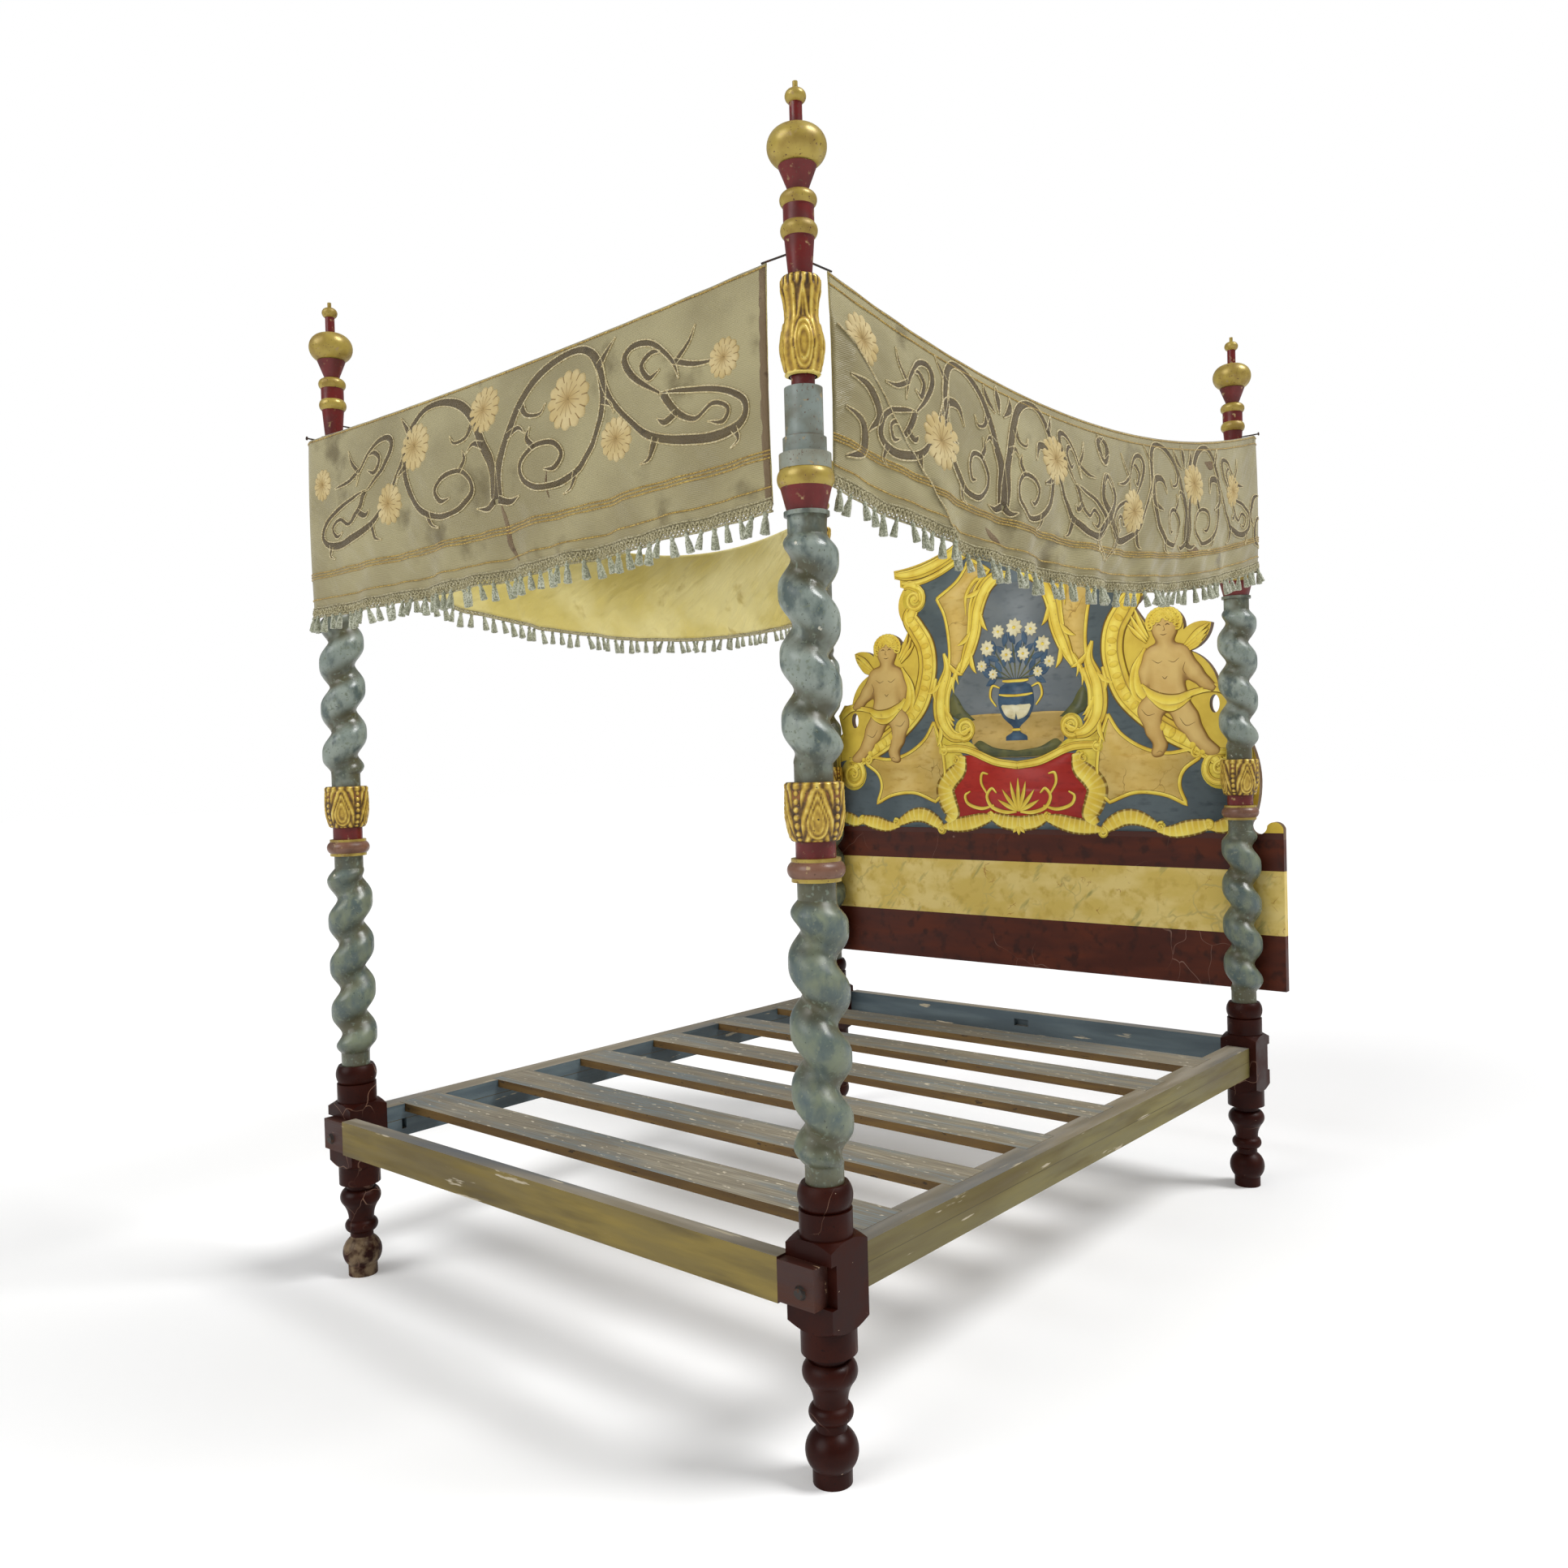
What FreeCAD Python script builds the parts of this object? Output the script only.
import FreeCAD, Part
import math
import os
import Sketcher

# Four-poster bed with barley-twist posts, a cut-out headboard and three hung valances.
# Frame: +Z up, floor at z = 0, X across the bed, Y from the foot to the head.

doc = FreeCAD.newDocument("canopy_bed")
sheet = doc.addObject("Spreadsheet::Sheet", "sizes")

# Driving dimensions in millimetres, from the floor up.
SIZES = {
    # Post axes
    "post_span_x": 1630,
    "post_span_y": 2070,
    # Fits
    "joint_clearance": 0.3,
    "loose_clearance": 1,
    "cut_overrun": 5,
    # Leg
    "foot_pad_radius": 38,
    "foot_pad_height": 29,
    "foot_ball_radius": 51,
    "foot_ball_height": 72,
    "foot_neck_radius": 30,
    "foot_neck_height": 15,
    "foot_ring_radius": 43,
    "foot_ring_height": 34,
    "leg_vase_base_radius": 33,
    "leg_vase_flank_radius": 36,
    "leg_vase_side_radius": 48,
    "leg_vase_flank_height": 46,
    "leg_vase_radius": 53,
    "leg_vase_top_radius": 41,
    "leg_vase_height": 38,
    "leg_throat_radius": 36,
    "leg_throat_height": 16,
    "lower_drum_radius": 54,
    "lower_drum_height": 50,
    "block_side": 110,
    "block_height": 172,
    "block_shoulder_height": 15,
    "upper_drum_radius": 51,
    "upper_drum_height": 49,
    "torus_radius": 53,
    "torus_edge_radius": 45,
    "torus_height": 49,
    # Round tenons that join the turned pieces
    "tenon_radius": 18,
    "tenon_length": 45,
    # Twisted shafts
    "shaft_neck_radius": 37,
    "shaft_neck_height": 34,
    "twist_lobe_radius": 58,
    "twist_valley_radius": 33,
    "twist_shoulder_height": 36,
    "twist_pitch": 121,
    "lower_twist_length": 497,
    "upper_twist_length": 425,
    "shaft_fillet_radius": 43,
    "shaft_fillet_height": 8,
    # Capital
    "ring_fillet_radius": 47,
    "ring_fillet_height": 7,
    "ring_radius": 55,
    "ring_height": 30,
    "capital_neck_radius": 38,
    "capital_neck_height": 32,
    "capital_base_radius": 42,
    "capital_radius": 53,
    "capital_rim_radius": 52,
    "capital_height": 110,
    # Collar
    "collar_neck_radius": 37,
    "collar_flare_radius": 48,
    "collar_flare_height": 44,
    "collar_ring_radius": 54,
    "collar_ring_height": 33,
    "collar_step_radius": 49,
    "collar_step_height": 29,
    "collar_top_radius": 41,
    "collar_top_height": 30,
    # Pole
    "spigot_radius": 17,
    "spigot_length": 60,
    "pole_drum_radius": 36,
    "pole_drum_height": 92,
    "pole_neck_radius": 22,
    "pole_neck_height": 21,
    "pole_vase_base_radius": 27,
    "pole_vase_radius": 39,
    "pole_vase_waist_radius": 28,
    "pole_vase_rim_radius": 34,
    "pole_vase_belly_height": 110,
    "pole_vase_waist_height": 50,
    "pole_vase_rim_height": 22,
    "pole_taper_low_radius": 22,
    "pole_taper_high_radius": 28,
    "pole_taper_height": 72,
    "pole_ring_radius": 35,
    "pole_ring_height": 28,
    "pole_band_radius": 29,
    "pole_band_height": 30,
    "pole_cup_low_radius": 18,
    "pole_cup_high_radius": 36,
    "pole_cup_height": 46,
    # Finial
    "finial_tenon_radius": 9,
    "finial_tenon_length": 30,
    "finial_ball_seat_radius": 30,
    "finial_ball_radius": 56,
    "finial_ball_height": 72,
    "finial_stem_radius": 12,
    "finial_stem_height": 44,
    "finial_tip_radius": 20,
    "finial_tip_height": 26,
    "finial_point_radius": 5,
    "finial_point_height": 14,
    # Rails
    "rail_rise": 51,
    "rail_height": 88,
    "end_rail_thickness": 40,
    "end_rail_proud": 25,
    "tongue_drop": 4,
    "tongue_short": 22,
    "side_rail_thickness": 68,
    "side_tenon_length": 24,
    "side_tenon_width": 26,
    "side_tenon_height": 60,
    "bearer_slot_width": 56,
    "bearer_slot_height": 24,
    "bearer_slot_depth": 20,
    # Bed bolts and nuts
    "bolt_radius": 6,
    "bolt_grip": 58,
    "bolt_tail": 14,
    "bolt_head_radius": 14,
    "bolt_head_height": 7,
    "bolt_drop": 10,
    "nut_side": 26,
    "nut_thickness": 12,
    # Slats
    "slat_first": 70,
    "slat_last": 192,
    "slat_width": 128,
    "slat_thickness": 22,
    "slat_bearing": 26,
    # Headboard
    "headboard_overhang": 110,
    "headboard_thickness": 24,
    "plank_lift": 600,
    "plank_height": 470,
    "crest_height": 1190,
    "crest_eye_width": 32,
    "crest_eye_height": 58,
    "batten_width": 70,
    "batten_thickness": 22,
    "batten_foot": 40,
    "screw_radius": 3,
    "screw_head_radius": 6,
    "screw_head_height": 3,
    "screw_hold": 30,
    "batten_screw_hold": 16,
    "batten_screw_edge": 60,
    # Valances and fringes
    "cloth_thickness": 5,
    "cloth_inset": 82,
    "valance_belly": 26,
    "valance_least_belly": 4,
    "valance_fold": 14,
    "foot_hook_near_rise": 345,
    "foot_hook_far_rise": 280,
    "foot_drop": 455,
    "foot_sag": 14,
    "side_hook_near_rise": 330,
    "side_hook_far_rise": 345,
    "side_drop": 395,
    "right_sag": 125,
    "left_sag": 235,
    "left_gather": 115,
    "left_belly": 70,
    "fringe_drop": 48,
    "nail_radius": 2,
    "nail_root": 12,
    "nail_reach": 12,
    "nail_head_radius": 5,
    "nail_head_height": 2,
}
for row, (name, length) in enumerate(SIZES.items(), 1):
    sheet.set(f"A{row}", name)
    sheet.set(f"B{row}", str(length))
    sheet.setAlias(f"B{row}", name)
doc.recompute()


class Size:
    """A length in millimetres, kept with the sheet expression that it comes from."""

    def __init__(self, value, text):
        self.value = value
        self.text = text

    def __add__(self, other):
        return Size(self.value + other.value, f"{self.text} + {other.text}")

    def __sub__(self, other):
        return Size(self.value - other.value, f"{self.text} - ({other.text})")

    def __mul__(self, factor):
        return Size(self.value * factor, f"({self.text}) * {factor}")

    def __truediv__(self, divisor):
        return Size(self.value / divisor, f"({self.text}) / {divisor}")

    def __neg__(self):
        return Size(-self.value, f"-({self.text})")

    def at_least(self, other):
        return Size(max(self.value, other.value), f"max({self.text}; {other.text})")


class Sheet:
    """Reads a named size of the sheet, as in s.block_side."""

    def __getattr__(self, alias):
        return Size(float(sheet.get(alias)), f"sizes.{alias}")


s = Sheet()
ZERO = Size(0.0, "0")
ALONG_X = FreeCAD.Rotation(FreeCAD.Vector(0, 1, 0), 90)
ALONG_Y = FreeCAD.Rotation(FreeCAD.Vector(1, 0, 0), -90)
AGAINST_Y = FreeCAD.Rotation(FreeCAD.Vector(1, 0, 0), 90)
AGAINST_X = FreeCAD.Rotation(FreeCAD.Vector(0, 1, 0), -90)
UPRIGHT = FreeCAD.Rotation()
QUARTER_TURN = FreeCAD.Rotation(FreeCAD.Vector(0, 0, 1), 90)
HALF_TURN = FreeCAD.Rotation(FreeCAD.Vector(0, 0, 1), 180)
BACKWARD_TURN = FreeCAD.Rotation(FreeCAD.Vector(0, 0, 1), -90)
pieces = []


# Helpers


def place(item, x=ZERO, y=ZERO, z=ZERO, rotation=UPRIGHT):
    """Puts an object at a place worked out from the sheet."""
    item.Placement = FreeCAD.Placement(FreeCAD.Vector(x.value, y.value, z.value), rotation)
    for axis, size in zip("xyz", (x, y, z)):
        item.setExpression(f"Placement.Base.{axis}", size.text)
    return item


def keep(item):
    """Counts an object among the bed's own pieces."""
    pieces.append(item)
    return item


def box(label, size, corner):
    """A plain block from its three sizes and its lowest corner."""
    item = doc.addObject("Part::Box", label)
    for side, length in zip(("Length", "Width", "Height"), size):
        setattr(item, side, length.value)
        item.setExpression(side, length.text)
    return place(item, *corner)


def rod(label, radius, length, start, rotation=UPRIGHT):
    """A plain cylinder from the middle of its first end."""
    item = doc.addObject("Part::Cylinder", label)
    item.Radius = radius.value
    item.Height = length.value
    item.setExpression("Radius", radius.text)
    item.setExpression("Height", length.text)
    return place(item, *start, rotation)


def joined(label, items):
    item = doc.addObject("Part::MultiFuse", label)
    item.Shapes = items
    return item


def group(label, items):
    item = doc.addObject("Part::Compound", label)
    item.Links = items
    return item


def less(label, base, tools):
    """A piece with holes, slots or notches cut out of it."""
    item = doc.addObject("Part::Cut", label)
    item.Base = base
    item.Tool = tools[0] if len(tools) == 1 else joined(f"{label}_cuts", tools)
    return item


def sketch_on(body, role, name):
    """A sketch on one of the body's own origin planes."""
    plane = next(f for f in body.Origin.OriginFeatures if f.Role == role)
    sketch = body.newObject("Sketcher::SketchObject", name)
    sketch.AttachmentSupport = [(plane, "")]
    sketch.MapMode = "FlatFace"
    return sketch


def hold(sketch, geometry, end, corner):
    """Ties a sketch point to the sheet, or to an axis where it lies on one."""
    for kind, axis, size in (("DistanceX", -2, corner[0]), ("DistanceY", -1, corner[1])):
        if size.value == 0:
            sketch.addConstraint(Sketcher.Constraint("PointOnObject", geometry, end, axis))
            continue
        index = sketch.addConstraint(Sketcher.Constraint(kind, -1, 1, geometry, end, size.value))
        sketch.setExpression(f"Constraints[{index}]", size.text)


def flat(corner):
    return FreeCAD.Vector(corner[0].value, corner[1].value, 0)


def draw(sketch, corners, mids):
    """A closed outline. mids gives, by the number of a side, the middle point of its arc."""
    count = len(corners)
    sides = []
    for number in range(count):
        first = flat(corners[number])
        last = flat(corners[(number + 1) % count])
        if number not in mids:
            sides.append((sketch.addGeometry(Part.LineSegment(first, last), False), 1, 2))
            continue
        middle = flat(mids[number])
        if (middle - first).cross(last - first).z > 0:
            sides.append((sketch.addGeometry(Part.Arc(first, middle, last), False), 1, 2))
        else:
            sides.append((sketch.addGeometry(Part.Arc(last, middle, first), False), 2, 1))
    for number in range(count):
        side, _, end = sides[number]
        following, start, _ = sides[(number + 1) % count]
        sketch.addConstraint(Sketcher.Constraint("Coincident", side, end, following, start))
        hold(sketch, side, end, corners[(number + 1) % count])
        if number in mids:
            dot = sketch.addGeometry(Part.Point(flat(mids[number])), True)
            hold(sketch, dot, 1, mids[number])
            sketch.addConstraint(Sketcher.Constraint("PointOnObject", dot, 1, side))


def rectangle(width, depth):
    return [(ZERO, ZERO), (width, ZERO), (width, depth), (ZERO, depth)]


def turned(label, start, steps, socket=None, tenon=None, well=None):
    """A piece spun on the lathe from its profile.

    Each step is (radius, rise), or (middle radius, radius, rise) for a round one. socket is a
    hole from below, tenon a round pin on top and well a hole from above: (radius, length) each.
    """
    height = ZERO
    corners = [(ZERO, ZERO)]
    mids = {}
    if socket:
        corners = [(ZERO, socket[1]), (socket[0], socket[1]), (socket[0], ZERO)]
    corners.append((start, ZERO))
    for step in steps:
        if len(step) == 3:
            mids[len(corners) - 1] = (step[0], height + step[2] / 2)
        height = height + step[-1]
        corners.append((step[-2], height))
    if tenon:
        top = height + tenon[1]
        corners += [(tenon[0], height), (tenon[0], top), (ZERO, top)]
    elif well:
        floor = height - well[1]
        corners += [(well[0], height), (well[0], floor), (ZERO, floor)]
    else:
        corners.append((ZERO, height))
    body = doc.addObject("PartDesign::Body", label)
    profile = sketch_on(body, "XZ_Plane", f"{label}_profile")
    draw(profile, corners, mids)
    spin = body.newObject("PartDesign::Revolution", f"{label}_spin")
    spin.Profile = profile
    spin.ReferenceAxis = (profile, ["V_Axis"])
    spin.Angle = 360
    return body


def total(*sizes):
    height = ZERO
    for size in sizes:
        height = height + size
    return height


# Places that several pieces share

socket_fit = (s.tenon_radius + s.joint_clearance, s.tenon_length + s.joint_clearance)
tenon_fit = (s.tenon_radius, s.tenon_length)
block_half = s.block_side / 2
block_bottom = total(
    s.foot_pad_height,
    s.foot_ball_height,
    s.foot_neck_height,
    s.foot_ring_height,
    s.leg_vase_flank_height,
    s.leg_vase_height,
    s.leg_throat_height,
    s.lower_drum_height,
)
leg_top = block_bottom + s.block_height + s.upper_drum_height + s.torus_height
lower_shaft_height = s.shaft_neck_height * 2 + s.lower_twist_length
capital_bottom = leg_top + lower_shaft_height
capital_total = (
    s.ring_fillet_height * 2 + s.ring_height + s.capital_neck_height + s.capital_height
)
upper_shaft_bottom = capital_bottom + capital_total
upper_shaft_height = s.shaft_neck_height * 2 + s.upper_twist_length + s.shaft_fillet_height
collar_bottom = upper_shaft_bottom + upper_shaft_height
pole_bottom = collar_bottom + total(
    s.collar_flare_height, s.collar_ring_height, s.collar_step_height, s.collar_top_height
)
pole_vase_height = s.pole_vase_belly_height + s.pole_vase_waist_height + s.pole_vase_rim_height
finial_bottom = pole_bottom + total(
    s.pole_drum_height,
    s.pole_neck_height,
    pole_vase_height,
    s.pole_taper_height,
    s.pole_ring_height * 2,
    s.pole_band_height,
    s.pole_cup_height,
)
rail_bottom = block_bottom + s.rail_rise
rail_top = rail_bottom + s.rail_height
trench_depth = s.end_rail_thickness - s.end_rail_proud
bolt_z = rail_bottom + s.rail_height / 2 - s.bolt_drop
# The cloth bends round the widest part of the post that it hangs beside, in flats of this angle.
WRAP_STEP = math.radians(30)
WRAP_FLATS = 2
WRAP_SLANT_SHARE = 1 / math.cos(WRAP_STEP / 2)
post_reach = s.collar_ring_radius.at_least(s.twist_lobe_radius) + s.joint_clearance
cloth_standoff = post_reach * WRAP_SLANT_SHARE + s.cloth_thickness / 2
headboard_half_width = s.post_span_x / 2 + s.headboard_overhang
# The board face that the lobes of the head posts' lower shafts touch, from the post axis.
headboard_offset = s.twist_lobe_radius + s.joint_clearance
nail_reach_y = cloth_standoff + s.cloth_thickness / 2 + s.nail_reach + s.nail_head_height
bolt_reach_y = block_half + s.end_rail_proud + s.bolt_head_height
foot_reach = nail_reach_y.at_least(bolt_reach_y)
head_reach = headboard_offset + s.headboard_thickness + s.batten_thickness + s.screw_head_height
middle_y = (foot_reach - head_reach) / 2
post_x = {"left": -(s.post_span_x / 2), "right": s.post_span_x / 2}
post_y = {"foot": middle_y - s.post_span_y / 2, "head": middle_y + s.post_span_y / 2}
CORNERS = [("foot", "left"), ("foot", "right"), ("head", "left"), ("head", "right")]


# Posts

SHOULDER_NEAR_SHARE = 1.03
SHOULDER_FAR_SHARE = 1.5


def leg(corner):
    """Ball foot, ring, vase and drum, the squared block, and the drum and torus above it."""
    body = turned(
        f"{corner}_leg_turning",
        s.foot_pad_radius,
        [
            (s.foot_pad_radius, s.foot_pad_height),
            (s.foot_ball_radius, s.foot_neck_radius, s.foot_ball_height),
            (s.foot_neck_radius, s.foot_neck_height),
            (s.foot_ring_radius, s.leg_vase_base_radius, s.foot_ring_height),
            (s.leg_vase_flank_radius, s.leg_vase_side_radius, s.leg_vase_flank_height),
            (s.leg_vase_radius, s.leg_vase_top_radius, s.leg_vase_height),
            (s.leg_throat_radius, ZERO),
            (s.leg_throat_radius, s.leg_throat_height),
            (s.lower_drum_radius, ZERO),
            (s.lower_drum_radius, s.lower_drum_height + s.block_height),
            (s.upper_drum_radius, ZERO),
            (s.upper_drum_radius, s.upper_drum_height),
            (s.torus_edge_radius, ZERO),
            (s.torus_radius, s.torus_edge_radius, s.torus_height),
        ],
        tenon=tenon_fit,
    )
    square = sketch_on(body, "XY_Plane", f"{corner}_block_square")
    square.setExpression("AttachmentOffset.Base.x", (-block_half).text)
    square.setExpression("AttachmentOffset.Base.y", (-block_half).text)
    square.setExpression("AttachmentOffset.Base.z", block_bottom.text)
    draw(square, rectangle(s.block_side, s.block_side), {})
    pad = body.newObject("PartDesign::Pad", f"{corner}_block")
    pad.Profile = square
    pad.Length = s.block_height.value
    pad.setExpression("Length", s.block_height.text)
    # The lathe takes the block's corners off at a slant, above and below.
    near = block_half * SHOULDER_NEAR_SHARE
    far = block_half * SHOULDER_FAR_SHARE
    block_top = block_bottom + s.block_height
    slants = {
        "upper": (block_top, block_top - s.block_shoulder_height),
        "lower": (block_bottom, block_bottom + s.block_shoulder_height),
    }
    for name, (edge, end) in slants.items():
        slant = sketch_on(body, "XZ_Plane", f"{corner}_{name}_slant")
        draw(slant, [(near, edge), (far, edge), (far, end)], {})
        groove = body.newObject("PartDesign::Groove", f"{corner}_{name}_shoulder")
        groove.Profile = slant
        groove.ReferenceAxis = (slant, ["V_Axis"])
        groove.Angle = 360
    trench_height = s.rail_height - s.tongue_drop * 2 + s.joint_clearance * 2
    trench = box(
        f"{corner}_trench",
        (s.block_side + s.cut_overrun * 2, trench_depth + s.cut_overrun, trench_height),
        (
            -(block_half + s.cut_overrun),
            -(block_half + s.cut_overrun),
            rail_bottom + s.tongue_drop - s.joint_clearance,
        ),
    )
    mortise = box(
        f"{corner}_mortise",
        (
            s.side_tenon_width + s.joint_clearance * 2,
            s.side_tenon_length + s.joint_clearance + s.cut_overrun,
            s.side_tenon_height + s.joint_clearance * 2,
        ),
        (
            -(s.side_tenon_width / 2 + s.joint_clearance),
            block_half - s.side_tenon_length - s.joint_clearance,
            rail_bottom + (s.rail_height - s.side_tenon_height) / 2 - s.joint_clearance,
        ),
    )
    bore = rod(
        f"{corner}_bore",
        s.bolt_radius + s.joint_clearance,
        s.block_side + s.cut_overrun * 2,
        (ZERO, -(block_half + s.cut_overrun), bolt_z),
        ALONG_Y,
    )
    return less(f"{corner}_leg", body, [trench, mortise, bore])


# Points round the twist's outline, levels in each of its turns, and how broad the lobe is.
TWIST_POINTS = 16
TWIST_LEVELS = 12
TWIST_BREADTH_POWER = 1.7


def twist_level(height, length, way):
    """Outline of the twist at one height: a broad round lobe and a narrow, hollow valley."""
    valley = s.twist_valley_radius.value
    swell = s.twist_lobe_radius.value - valley
    plain = s.shaft_neck_radius.value + s.joint_clearance.value
    turn = way * math.tau * height / s.twist_pitch.value
    # Both ends are rounded over towards the necks.
    shoulder = min(height, length - height) / s.twist_shoulder_height.value
    fullness = math.sin(math.pi / 2 * min(1, shoulder))
    outline = []
    for number in range(TWIST_POINTS):
        angle = math.tau * number / TWIST_POINTS
        away = (1 - math.cos(angle)) / 2
        radius = valley + swell * (1 - away**TWIST_BREADTH_POWER)
        radius = plain + (radius - plain) * fullness
        x = radius * math.cos(angle + turn)
        y = radius * math.sin(angle + turn)
        outline.append(FreeCAD.Vector(x, y, height))
    return outline + outline[:1]


def twist(label, length, left_handed, facing):
    """The twisted stretch: its outline carried straight up and turned a little at each level."""
    way = -1 if left_handed else 1
    tall = length.value
    steps = math.ceil(tall * TWIST_LEVELS / s.twist_pitch.value)
    surface = Part.BSplineSurface()
    surface.interpolate([twist_level(tall * step / steps, tall, way) for step in range(steps + 1)])
    side = surface.toShape()
    rims = [edge for edge in side.Edges if edge.BoundBox.ZLength < s.joint_clearance.value]
    shell = Part.makeShell([side] + [Part.Face(Part.Wire([rim])) for rim in rims])
    shell.sewShape()
    solid = Part.Solid(shell)
    if solid.Volume < 0:
        solid.reverse()
    item = doc.addObject("Part::Feature", label)
    item.Shape = solid
    return place(item, ZERO, ZERO, s.shaft_neck_height, facing)


def shaft(label, length, left_handed, facing, filleted, holes):
    """A twisted shaft between two plain necks, with a socket below and a tenon on top. facing
    turns its lowest lobe."""
    neck = s.shaft_neck_radius
    top = s.shaft_neck_height * 2 + length
    parts = [
        rod(f"{label}_low_neck", neck, s.shaft_neck_height, (ZERO, ZERO, ZERO)),
        twist(f"{label}_twist", length, left_handed, facing),
        rod(
            f"{label}_high_neck",
            neck,
            s.shaft_neck_height,
            (ZERO, ZERO, s.shaft_neck_height + length),
        ),
    ]
    if filleted:
        fillet = rod(
            f"{label}_fillet", s.shaft_fillet_radius, s.shaft_fillet_height, (ZERO, ZERO, top)
        )
        parts.append(fillet)
        top = top + s.shaft_fillet_height
    parts.append(rod(f"{label}_tenon", s.tenon_radius, s.tenon_length, (ZERO, ZERO, top)))
    socket = rod(f"{label}_socket", *socket_fit, (ZERO, ZERO, ZERO))
    return less(label, joined(f"{label}_whole", parts), [socket] + holes)


def capital(label):
    """Ring between two fillets, plain neck, and the swelling cup that the carving is cut in."""
    return turned(
        label,
        s.ring_fillet_radius,
        [
            (s.ring_fillet_radius, s.ring_fillet_height),
            (s.ring_radius, s.ring_fillet_radius, s.ring_height),
            (s.ring_fillet_radius, s.ring_fillet_height),
            (s.capital_neck_radius, ZERO),
            (s.capital_neck_radius, s.capital_neck_height),
            (s.capital_base_radius, ZERO),
            (s.capital_radius, s.capital_rim_radius, s.capital_height),
        ],
        socket=socket_fit,
        tenon=tenon_fit,
    )


def collar(label):
    """Flared neck, ring and two steps, with the well that the pole stands in."""
    return turned(
        label,
        s.collar_neck_radius,
        [
            (s.collar_flare_radius, s.collar_flare_height),
            (s.collar_ring_radius, s.collar_flare_radius, s.collar_ring_height),
            (s.collar_step_radius, ZERO),
            (s.collar_step_radius, s.collar_step_height),
            (s.collar_top_radius, ZERO),
            (s.collar_top_radius, s.collar_top_height),
        ],
        socket=socket_fit,
        well=(s.spigot_radius + s.joint_clearance, s.spigot_length + s.loose_clearance),
    )


def pole(label, holes):
    """Spigot, drum, neck, vase, taper, two rings with a band between, and the cup."""
    body = turned(
        f"{label}_turning",
        s.spigot_radius,
        [
            (s.spigot_radius, s.spigot_length),
            (s.pole_drum_radius, ZERO),
            (s.pole_drum_radius, s.pole_drum_height),
            (s.pole_neck_radius, ZERO),
            (s.pole_neck_radius, s.pole_neck_height),
            (s.pole_vase_base_radius, ZERO),
            (s.pole_vase_radius, s.pole_vase_waist_radius, s.pole_vase_belly_height),
            (s.pole_vase_rim_radius, s.pole_vase_waist_height),
            (s.pole_vase_rim_radius, s.pole_vase_rim_height),
            (s.pole_taper_low_radius, ZERO),
            (s.pole_taper_high_radius, s.pole_taper_height),
            (s.pole_ring_radius, s.pole_band_radius, s.pole_ring_height),
            (s.pole_band_radius, s.pole_band_height),
            (s.pole_ring_radius, s.pole_cup_low_radius, s.pole_ring_height),
            (s.pole_cup_high_radius, s.pole_cup_height),
        ],
        tenon=(s.finial_tenon_radius, s.finial_tenon_length),
    )
    return less(label, body, holes) if holes else body


def finial(label):
    """Ball, stem and pointed tip."""
    return turned(
        label,
        s.finial_ball_seat_radius,
        [
            (s.finial_ball_radius, s.finial_stem_radius, s.finial_ball_height),
            (s.finial_stem_radius, s.finial_stem_height),
            (s.finial_tip_radius, s.finial_point_radius, s.finial_tip_height),
            (s.finial_point_radius, s.finial_point_height),
        ],
        socket=(
            s.finial_tenon_radius + s.joint_clearance,
            s.finial_tenon_length + s.joint_clearance,
        ),
    )


# Screws through the plank bite into the lobes that face the head, whole turns up the twist.
SCREW_TURNS = (1, 3)


def post_screw_heights():
    start = leg_top + s.shaft_neck_height
    return [start + s.twist_pitch * turns for turns in SCREW_TURNS]


def screw_holes(label):
    """Holes for the post screws, in the lower shaft's own frame."""
    length = s.screw_hold + s.joint_clearance + s.cut_overrun
    start = headboard_offset - s.screw_hold - s.joint_clearance
    holes = []
    for number, height in enumerate(post_screw_heights(), 1):
        at = (ZERO, start, height - leg_top)
        radius = s.screw_radius + s.joint_clearance
        holes.append(rod(f"{label}_hole_{number}", radius, length, at, ALONG_Y))
    return holes


# Valances: each hangs from a nail in the pole where it starts and one in the pole it ends at.
# run is the way it goes along the bed, and out the way it faces.
VALANCES = {
    "foot": {
        "start": ("foot", "right"),
        "end": ("foot", "left"),
        "run": FreeCAD.Vector(-1, 0, 0),
        "out": FreeCAD.Vector(0, -1, 0),
        "hooks": (s.foot_hook_near_rise, s.foot_hook_far_rise),
        "drop": s.foot_drop,
        "sag": s.foot_sag,
        "gather": ZERO,
        "belly": s.valance_belly,
    },
    "right": {
        "start": ("foot", "right"),
        "end": ("head", "right"),
        "run": FreeCAD.Vector(0, 1, 0),
        "out": FreeCAD.Vector(1, 0, 0),
        "hooks": (s.side_hook_near_rise, s.side_hook_far_rise),
        "drop": s.side_drop,
        "sag": s.right_sag,
        "gather": ZERO,
        "belly": s.valance_belly,
    },
    "left": {
        "start": ("foot", "left"),
        "end": ("head", "left"),
        "run": FreeCAD.Vector(0, 1, 0),
        "out": FreeCAD.Vector(-1, 0, 0),
        "hooks": (s.side_hook_near_rise, s.side_hook_far_rise),
        "drop": s.side_drop,
        "sag": s.left_sag,
        "gather": s.left_gather,
        "belly": s.left_belly,
    },
}
RUN_ROTATION = {(-1, 0): AGAINST_X, (1, 0): ALONG_X, (0, 1): ALONG_Y, (0, -1): AGAINST_Y}


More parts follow.
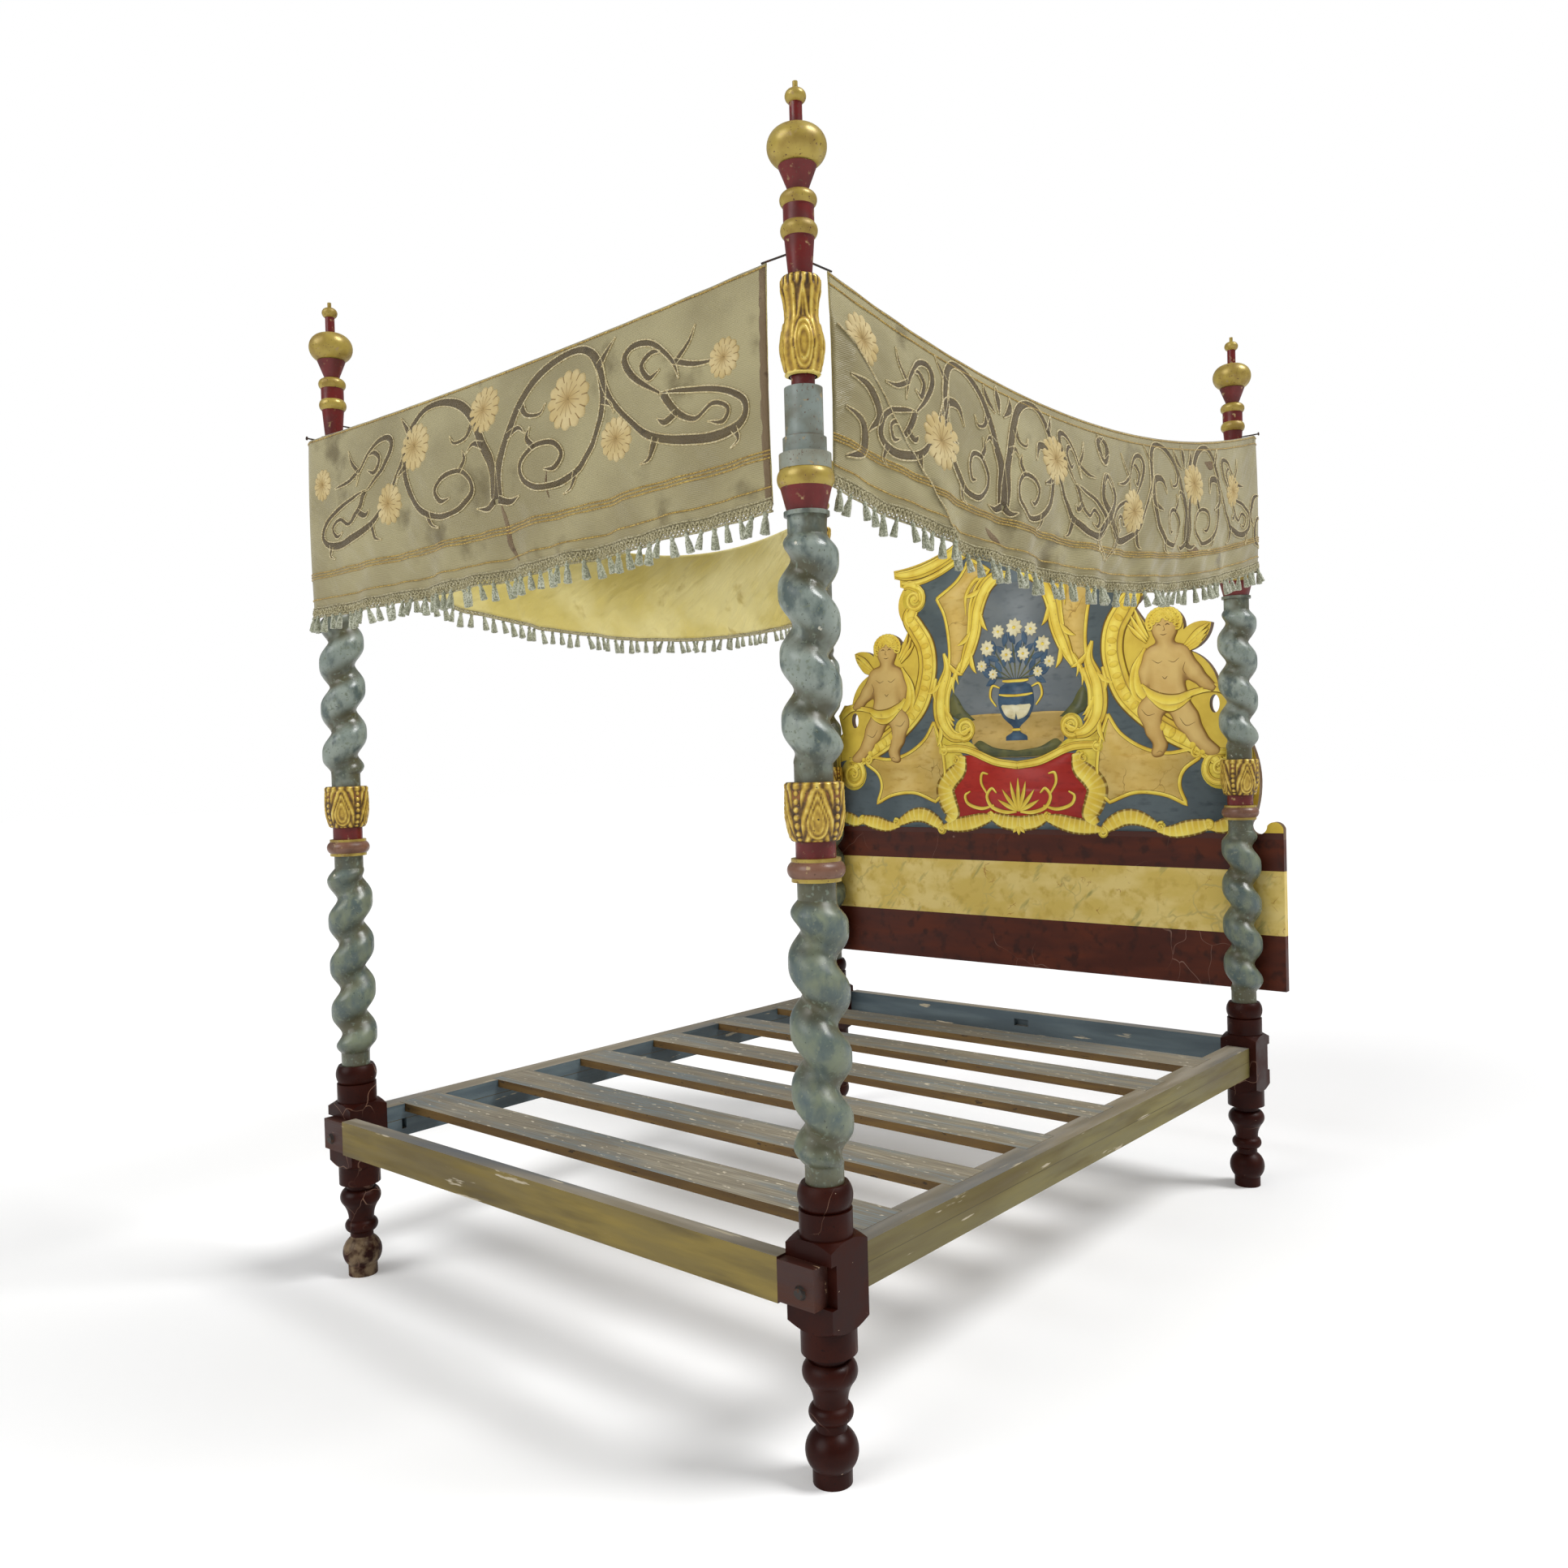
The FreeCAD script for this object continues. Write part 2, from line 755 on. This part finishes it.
def nail_line(valance, at_start):
    """Where a nail starts, which way it points and how long it is."""
    end, side = valance["start" if at_start else "end"]
    way = valance["run"] if at_start else valance["out"]
    rise = valance["hooks"][0 if at_start else 1]
    height = pole_bottom + rise + s.nail_radius + s.joint_clearance
    reach = s.cloth_inset if at_start else cloth_standoff + s.cloth_thickness / 2
    x = post_x[side] + s.nail_root * way.x
    y = post_y[end] + s.nail_root * way.y
    length = reach + s.nail_reach - s.nail_root
    return (x, y, height), RUN_ROTATION[(int(way.x), int(way.y))], length, way


def nail(label, valance, at_start):
    """A forged nail. The one that the cloth starts from is a plain spike, the other has a head."""
    start, rotation, length, way = nail_line(valance, at_start)
    if at_start:
        return rod(label, s.nail_radius, length, start, rotation)
    shank = rod(f"{label}_shank", s.nail_radius, length, start, rotation)
    tip = (start[0] + length * way.x, start[1] + length * way.y, start[2])
    head = rod(f"{label}_head", s.nail_head_radius, s.nail_head_height, tip, rotation)
    return joined(label, [shank, head])


def nail_holes(end, side):
    """Holes for a pole's nails, in the pole's own frame."""
    holes = []
    for name, valance in VALANCES.items():
        for at_start in (True, False):
            if valance["start" if at_start else "end"] != (end, side):
                continue
            _, rotation, _, way = nail_line(valance, at_start)
            rise = valance["hooks"][0 if at_start else 1]
            height = s.spigot_length + rise + s.nail_radius + s.joint_clearance
            root = s.nail_root - s.joint_clearance
            label = f"{end}_{side}_pole_{name}_nail_hole"
            at = (root * way.x, root * way.y, height)
            radius = s.nail_radius + s.joint_clearance
            holes.append(rod(label, radius, s.pole_vase_radius, at, rotation))
    return holes


def post(end, side):
    """One whole post, from the floor to the finial."""
    corner = f"{end}_{side}"
    x = post_x[side]
    y = post_y[end]
    left_handed = side == "right"
    facing = UPRIGHT if end == "foot" else HALF_TURN
    holes = screw_holes(corner) if end == "head" else []
    keep(place(leg(corner), x, y, ZERO, facing))
    # A head post's lower lobes face the headboard, which is held to them.
    lobe_way = QUARTER_TURN if end == "head" else BACKWARD_TURN
    lower = shaft(
        f"{corner}_lower_shaft", s.lower_twist_length, left_handed, lobe_way, False, holes
    )
    keep(place(lower, x, y, leg_top))
    keep(place(capital(f"{corner}_capital"), x, y, capital_bottom))
    upper = shaft(
        f"{corner}_upper_shaft", s.upper_twist_length, left_handed, QUARTER_TURN, True, []
    )
    keep(place(upper, x, y, upper_shaft_bottom))
    keep(place(collar(f"{corner}_collar"), x, y, collar_bottom))
    upright = pole(f"{corner}_pole", nail_holes(end, side))
    keep(place(upright, x, y, pole_bottom - s.spigot_length))
    keep(place(finial(f"{corner}_finial"), x, y, finial_bottom))


for corner_end, corner_side in CORNERS:
    post(corner_end, corner_side)


# Rails


def padded(label, role, corners, length, reverse):
    """A board sawn to an outline and as thick as length."""
    body = doc.addObject("PartDesign::Body", label)
    outline = sketch_on(body, role, f"{label}_outline")
    draw(outline, corners, {})
    pad = body.newObject("PartDesign::Pad", f"{label}_board")
    pad.Profile = outline
    pad.Length = length.value
    pad.setExpression("Length", length.text)
    pad.Reversed = reverse
    return body


# The tongues stop short of the blocks' outer sides.
end_rail_x = s.post_span_x / 2 + block_half - s.tongue_short


def end_rail(label, slotted):
    """Foot or head rail: a board with a tongue at each end, bored for the bolts."""
    length = end_rail_x * 2
    tongue = s.block_side - s.tongue_short + s.joint_clearance
    far = length - tongue
    low = s.tongue_drop
    high = s.rail_height - s.tongue_drop
    corners = [
        (ZERO, low),
        (tongue, low),
        (tongue, ZERO),
        (far, ZERO),
        (far, low),
        (length, low),
        (length, high),
        (far, high),
        (far, s.rail_height),
        (tongue, s.rail_height),
        (tongue, high),
        (ZERO, high),
    ]
    board = padded(f"{label}_sawn", "XZ_Plane", corners, s.end_rail_thickness, True)
    depth = s.end_rail_thickness + s.cut_overrun * 2
    cuts = []
    bolt_x = block_half - s.tongue_short
    for name, x in (("first", bolt_x), ("second", length - bolt_x)):
        at = (x, -s.cut_overrun, bolt_z - rail_bottom)
        radius = s.bolt_radius + s.joint_clearance
        cuts.append(rod(f"{label}_{name}_bore", radius, depth, at, ALONG_Y))
    if slotted:
        slot = box(
            f"{label}_slot",
            (s.bearer_slot_width, s.bearer_slot_depth + s.cut_overrun, s.bearer_slot_height),
            (
                (length - s.bearer_slot_width) / 2,
                s.end_rail_thickness - s.bearer_slot_depth,
                s.rail_height - s.bearer_slot_height * 2,
            ),
        )
        cuts.append(slot)
    return less(label, board, cuts)


foot_face_y = post_y["foot"] - block_half - s.end_rail_proud
head_face_y = post_y["head"] + block_half + s.end_rail_proud
keep(place(end_rail("foot_rail", False), -end_rail_x, foot_face_y, rail_bottom))
keep(place(end_rail("head_rail", True), end_rail_x, head_face_y, rail_bottom, HALF_TURN))

SLAT_COUNT = 6
side_rail_length = s.post_span_y - s.block_side
slat_room = side_rail_length - s.slat_first - s.slat_last - s.slat_width
slat_pitch = slat_room / (SLAT_COUNT - 1)
notch_width = s.slat_width + s.loose_clearance * 2
nut_pocket_length = s.nut_thickness + s.loose_clearance * 2


def side_rail(label, first_notch):
    """A beam notched for the slats on its inner top edge, with a tenon, bore and nut pocket
    at each end. Its inner face is at x = 0."""
    thickness = s.side_rail_thickness
    body = padded(
        f"{label}_beam", "XY_Plane", rectangle(thickness, side_rail_length), s.rail_height, False
    )
    notch = sketch_on(body, "XY_Plane", f"{label}_notch_outline")
    notch.setExpression("AttachmentOffset.Base.y", first_notch.text)
    notch.setExpression("AttachmentOffset.Base.z", s.rail_height.text)
    draw(notch, rectangle(s.slat_bearing + s.loose_clearance, notch_width), {})
    pocket = body.newObject("PartDesign::Pocket", f"{label}_notch")
    pocket.Profile = notch
    pocket.Length = s.slat_thickness.value
    pocket.setExpression("Length", s.slat_thickness.text)
    doc.recompute()
    row_of_notches = body.newObject("PartDesign::LinearPattern", f"{label}_notches")
    row_of_notches.Originals = [pocket]
    row_of_notches.Direction = (notch, ["V_Axis"])
    row_of_notches.Occurrences = SLAT_COUNT
    spread = slat_pitch * (SLAT_COUNT - 1)
    row_of_notches.Length = spread.value
    row_of_notches.setExpression("Length", spread.text)
    body.Tip = row_of_notches
    solids = [body]
    cuts = []
    tenon_z = (s.rail_height - s.side_tenon_height) / 2
    pocket_height = s.nut_side + s.loose_clearance * 2
    bore_length = s.side_tenon_length + s.bolt_grip + nut_pocket_length + s.bolt_tail
    for end in ("low", "high"):
        low = end == "low"
        tenon_y = -s.side_tenon_length if low else side_rail_length
        solids.append(
            box(
                f"{label}_{end}_tenon",
                (s.side_tenon_width, s.side_tenon_length, s.side_tenon_height),
                ((thickness - s.side_tenon_width) / 2, tenon_y, tenon_z),
            )
        )
        mouth = s.side_tenon_length + s.cut_overrun
        bore_y = -mouth if low else side_rail_length + mouth
        cuts.append(
            rod(
                f"{label}_{end}_bore",
                s.bolt_radius + s.joint_clearance,
                bore_length + s.cut_overrun,
                (thickness / 2, bore_y, bolt_z - rail_bottom),
                ALONG_Y if low else AGAINST_Y,
            )
        )
        slot_y = s.bolt_grip if low else side_rail_length - s.bolt_grip - nut_pocket_length
        cuts.append(
            box(
                f"{label}_{end}_nut_pocket",
                (
                    (thickness + s.nut_side) / 2 + s.loose_clearance + s.cut_overrun,
                    nut_pocket_length,
                    pocket_height,
                ),
                (-s.cut_overrun, slot_y, bolt_z - rail_bottom - pocket_height / 2),
            )
        )
    return less(label, joined(f"{label}_tenoned", solids), cuts)


first_notch_y = s.slat_first - s.loose_clearance
last_notch_end = first_notch_y + slat_room + notch_width
rail_start_y = post_y["foot"] + block_half
rail_end_y = post_y["head"] - block_half
rail_inner_x = s.post_span_x / 2 - s.side_rail_thickness / 2
right_rail = side_rail("right_rail", first_notch_y)
left_rail = side_rail("left_rail", side_rail_length - last_notch_end)
keep(place(right_rail, rail_inner_x, rail_start_y, rail_bottom))
keep(place(left_rail, -rail_inner_x, rail_end_y, rail_bottom, HALF_TURN))

for number in range(SLAT_COUNT):
    slat_reach = rail_inner_x + s.slat_bearing
    slat_y = rail_start_y + s.slat_first + slat_pitch * number
    board_size = (slat_reach * 2, s.slat_width, s.slat_thickness)
    slat_at = (-slat_reach, slat_y, rail_top - s.slat_thickness)
    keep(box(f"slat_{number + 1}", board_size, slat_at))


# Bed bolts and nuts

bolt_length = s.end_rail_proud + s.block_side + s.bolt_grip + nut_pocket_length + s.bolt_tail / 2
DOME_SIDE_SHARE = 0.7


def bed_bolt(label):
    """A domed head on a round shank, along Z."""
    dome = s.bolt_head_radius * DOME_SIDE_SHARE
    return turned(
        label,
        s.bolt_radius,
        [
            (s.bolt_radius, bolt_length),
            (s.bolt_head_radius, ZERO),
            (dome, s.bolt_head_height),
        ],
    )


def nut(label, at):
    """A square nut with its hole along Y."""
    blank = box(f"{label}_blank", (s.nut_side, s.nut_thickness, s.nut_side), at)
    middle = s.nut_side / 2
    start = (at[0] + middle, at[1] - s.cut_overrun, at[2] + middle)
    length = s.nut_thickness + s.cut_overrun * 2
    hole = rod(f"{label}_hole", s.bolt_radius + s.joint_clearance, length, start, ALONG_Y)
    return less(label, blank, [hole])


bolts = []
nuts = []
for corner_end, corner_side in CORNERS:
    name = f"{corner_end}_{corner_side}"
    foot = corner_end == "foot"
    tail_y = foot_face_y + bolt_length if foot else head_face_y - bolt_length
    way = AGAINST_Y if foot else ALONG_Y
    bolts.append(place(bed_bolt(f"{name}_bolt"), post_x[corner_side], tail_y, bolt_z, way))
    nut_y = rail_start_y + s.bolt_grip + s.loose_clearance
    if not foot:
        nut_y = rail_end_y - s.bolt_grip - s.loose_clearance - s.nut_thickness
    nut_at = (post_x[corner_side] - s.nut_side / 2, nut_y, bolt_z - s.nut_side / 2)
    nuts.append(nut(f"{name}_nut", nut_at))
keep(group("bed_bolts", bolts))
keep(group("bed_nuts", nuts))


# Headboard

# The crest is sawn from two boards, and the battens reach part of the way up the upper one.
CREST_JOINT_SHARE = 0.68
BATTEN_REACH_SHARE = 0.43
BATTEN_PLACE_SHARE = 0.36
board_y = post_y["head"] + headboard_offset
board_back_y = board_y + s.headboard_thickness
crest_bottom = s.plank_lift + s.plank_height
crest_joint_height = s.crest_height * CREST_JOINT_SHARE
crest_joint = crest_bottom + crest_joint_height
batten_bottom = s.plank_lift + s.batten_foot
batten_top = crest_joint + (s.crest_height - crest_joint_height) * BATTEN_REACH_SHARE
batten_place_x = headboard_half_width * BATTEN_PLACE_SHARE
batten_height = batten_top - batten_bottom
batten_screw_z = [
    batten_bottom + s.batten_screw_edge,
    crest_bottom - s.batten_screw_edge,
    crest_bottom + s.batten_screw_edge,
    crest_joint - s.batten_screw_edge,
    crest_joint + s.batten_screw_edge,
    batten_top - s.batten_screw_edge,
]

# Right half of the crest, from its lower corner to its peak, as shares of the headboard's half
# width and of the crest's height. An arc gives its middle point first.
CREST_OUTLINE_SHARES = [
    (1.0, 0.0),
    (1.0, 0.017),
    (0.981, 0.044, 0.946, 0.035),
    (0.92, 0.013, 0.899, 0.05),
    (0.918, 0.2, 0.844, 0.319),
    (0.862, 0.378),
    (0.83, 0.412),
    (0.79, 0.402),
    (0.758, 0.466, 0.688, 0.506),
    (0.74, 0.529, 0.769, 0.577),
    (0.72, 0.582, 0.669, 0.563),
    (0.599, 0.63, 0.529, 0.59),
    (0.484, 0.64),
    (0.538, 0.708, 0.508, 0.769),
    (0.527, 0.775),
    (0.527, 0.797),
    (0.554, 0.803),
    (0.557, 0.829),
    (0.344, 0.859, 0.172, 0.924),
    (0.097, 0.987, 0.0, 1.0),
]
CREST_EYE_SHARES = (0.775, 0.36)


def crest_edges(way):
    """One half of the crest's outline: way is 1 for the right half and -1 for the left."""
    half = headboard_half_width.value * way
    tall = s.crest_height.value
    edges = []
    points = [FreeCAD.Vector(0, 0, 0)]
    for shares in CREST_OUTLINE_SHARES:
        last = points[-1]
        end = FreeCAD.Vector(shares[-2] * half, 0, shares[-1] * tall)
        points.append(end)
        if len(shares) == 4:
            middle = FreeCAD.Vector(shares[0] * half, 0, shares[1] * tall)
            edges.append(Part.Arc(last, middle, end).toShape())
        else:
            edges.append(Part.makeLine(last, end))
    return edges


def crest_board(label, low, high):
    """The part of the cut-out crest between two heights, sawn from one board."""
    edges = crest_edges(1) + crest_edges(-1)
    outline = Part.Wire(Part.__sortEdges__(edges))
    thickness = FreeCAD.Vector(0, s.headboard_thickness.value, 0)
    whole = Part.Face(outline).extrude(thickness)
    half = headboard_half_width.value
    for way in (1, -1):
        eye = Part.Ellipse(FreeCAD.Vector(), s.crest_eye_height.value / 2, s.crest_eye_width.value / 2)
        hole = Part.Face(Part.Wire([eye.toShape()]))
        hole.rotate(FreeCAD.Vector(), FreeCAD.Vector(0, 0, 1), 90)
        hole.rotate(FreeCAD.Vector(), FreeCAD.Vector(1, 0, 0), 90)
        across = CREST_EYE_SHARES[0] * half * way
        hole.translate(FreeCAD.Vector(across, 0, CREST_EYE_SHARES[1] * s.crest_height.value))
        whole = whole.cut(hole.extrude(thickness))
    strip = Part.makeBox(
        half * 2, s.headboard_thickness.value, high - low, FreeCAD.Vector(-half, 0, low)
    )
    item = doc.addObject("Part::Feature", label)
    item.Shape = whole.common(strip).removeSplitter()
    return place(item, ZERO, board_y, crest_bottom)


def bored(label, base, holes):
    """A board with holes along Y, each (x, first y, length, z)."""
    cuts = []
    for number, (x, y, length, z) in enumerate(holes, 1):
        radius = s.screw_radius + s.joint_clearance
        cuts.append(rod(f"{label}_bore_{number}", radius, length, (x, y, z), ALONG_Y))
    return less(label, base, cuts)


def board_holes(low, high):
    """Blind holes behind a board for the batten screws between two heights."""
    holes = []
    start = board_back_y - s.batten_screw_hold - s.joint_clearance
    length = s.batten_screw_hold + s.joint_clearance + s.cut_overrun
    for x in (-batten_place_x, batten_place_x):
        for z in batten_screw_z:
            if low.value < z.value < high.value:
                holes.append((x, start, length, z))
    return holes


through = s.headboard_thickness + s.cut_overrun * 2
post_holes = []
for x in post_x.values():
    for z in post_screw_heights():
        post_holes.append((x, board_y - s.cut_overrun, through, z))
plank = box(
    "headboard_plank_sawn",
    (headboard_half_width * 2, s.headboard_thickness, s.plank_height),
    (-headboard_half_width, board_y, s.plank_lift),
)
keep(bored("headboard_plank", plank, board_holes(s.plank_lift, crest_bottom) + post_holes))
lower_crest = crest_board("crest_lower_sawn", 0, crest_joint_height.value)
upper_crest = crest_board("crest_upper_sawn", crest_joint_height.value, s.crest_height.value)
keep(bored("crest_lower_board", lower_crest, board_holes(crest_bottom, crest_joint)))
keep(bored("crest_upper_board", upper_crest, board_holes(crest_joint, batten_top)))


def screw(label, x, back_y, length, z):
    """A round-headed screw that goes in from the back, along Y."""
    shank = rod(f"{label}_shank", s.screw_radius, length, (x, back_y - length, z), ALONG_Y)
    head_at = (x, back_y, z)
    head = rod(f"{label}_head", s.screw_head_radius, s.screw_head_height, head_at, ALONG_Y)
    return joined(label, [shank, head])


batten_screws = []
for name, x in (("left", -batten_place_x), ("right", batten_place_x)):
    blank = box(
        f"{name}_batten_sawn",
        (s.batten_width, s.batten_thickness, batten_height),
        (x - s.batten_width / 2, board_back_y, batten_bottom),
    )
    depth = s.batten_thickness + s.cut_overrun * 2
    holes = [(x, board_back_y - s.cut_overrun, depth, z) for z in batten_screw_z]
    keep(bored(f"{name}_batten", blank, holes))
    for number, z in enumerate(batten_screw_z, 1):
        length = s.batten_thickness + s.batten_screw_hold
        back_y = board_back_y + s.batten_thickness
        batten_screws.append(screw(f"{name}_batten_screw_{number}", x, back_y, length, z))
keep(group("batten_screws", batten_screws))

post_screws = []
for side, x in post_x.items():
    for number, z in enumerate(post_screw_heights(), 1):
        length = s.headboard_thickness + s.screw_hold
        post_screws.append(screw(f"{side}_post_screw_{number}", x, board_back_y, length, z))
keep(group("post_screws", post_screws))


# Cloth

CLOTH_STATIONS = 12


def stations(valance):
    """Places along a valance: share of its run, plan point, way that it faces, fold share."""
    end, side = valance["end"]
    first_end, first_side = valance["start"]
    run = valance["run"]
    out = valance["out"]
    axis = FreeCAD.Vector(post_x[side].value, post_y[end].value, 0)
    start = FreeCAD.Vector(post_x[first_side].value, post_y[first_end].value, 0)
    start += run * s.cloth_inset.value
    finish = axis + out * cloth_standoff.value
    rows = []
    for number in range(CLOTH_STATIONS + 1):
        share = number / CLOTH_STATIONS
        inner = 0 < number < CLOTH_STATIONS
        fold = (-1) ** number if inner else 0
        rows.append((share, start + (finish - start) * share, out, fold))
    for flat_number in range(1, WRAP_FLATS + 1):
        angle = WRAP_STEP * flat_number
        way = out * math.cos(angle) + run * math.sin(angle)
        rows.append((1, axis + way * cloth_standoff.value, way, 0))
    return rows


def cloth_edges(valance, share):
    """Heights of the valance's top and bottom edge, and how far it swells, at a share of its run."""
    near, far = valance["hooks"]
    slack_share = 4 * share * (1 - share)
    hook = near.value + (far.value - near.value) * share
    top = pole_bottom.value + hook - valance["sag"].value * slack_share
    bottom = top - valance["drop"].value + valance["gather"].value * slack_share
    least = s.valance_least_belly.value
    belly = least + (valance["belly"].value - least) * slack_share
    return top, bottom, belly


def loft(label, wires):
    item = doc.addObject("Part::Feature", label)
    item.Shape = Part.makeLoft(wires, True, True)
    return item


def valance_cloth(label, valance):
    """The hung cloth: level at the hem, swelling in the middle and folding in and out below."""
    wires = []
    half = s.cloth_thickness.value / 2
    for share, at, way, fold in stations(valance):
        top, bottom, belly = cloth_edges(valance, share)
        swing = s.valance_fold.value * fold
        faces = []
        for offset in (half, -half):
            faces.append(
                [
                    at + way * offset + FreeCAD.Vector(0, 0, top),
                    at + way * (offset + belly) + FreeCAD.Vector(0, 0, (top + bottom) / 2),
                    at + way * (offset + swing) + FreeCAD.Vector(0, 0, bottom),
                ]
            )
        outer, inner = faces
        wires.append(
            Part.Wire(
                [
                    Part.Arc(*outer).toShape(),
                    Part.makeLine(outer[2], inner[2]),
                    Part.Arc(*reversed(inner)).toShape(),
                    Part.makeLine(inner[0], outer[0]),
                ]
            )
        )
    return loft(label, wires)


def fringe(label, valance):
    """The strip of braid and tassels below a valance, as one band."""
    wires = []
    half = s.cloth_thickness.value / 2
    for share, at, way, fold in stations(valance):
        bottom = cloth_edges(valance, share)[1] - s.joint_clearance.value
        swing = s.valance_fold.value * fold
        corners = []
        for offset, drop in ((half, 0), (half, 1), (-half, 1), (-half, 0)):
            height = bottom - s.fringe_drop.value * drop
            corners.append(at + way * (offset + swing) + FreeCAD.Vector(0, 0, height))
        wires.append(Part.makePolygon(corners + corners[:1]))
    return loft(label, wires)


nails = []
for name, hung in VALANCES.items():
    keep(valance_cloth(f"{name}_valance", hung))
    keep(fringe(f"{name}_fringe", hung))
    nails.append(nail(f"{name}_start_nail", hung, True))
    nails.append(nail(f"{name}_end_nail", hung, False))
keep(group("valance_nails", nails))


# Checks and files

doc.recompute()
for item in doc.Objects:
    if "Invalid" in item.State or "Error" in item.State:
        raise RuntimeError(f"{item.Label} failed: {item.State}")
for item in pieces:
    if item.Shape.isNull() or not item.Shape.isValid() or not item.Shape.Solids:
        raise RuntimeError(f"{item.Label} has no sound shape")
os.makedirs("parts", exist_ok=True)
for item in pieces:
    item.Shape.exportStep(f"parts/{item.Label}.step")
print(len(pieces), "pieces")
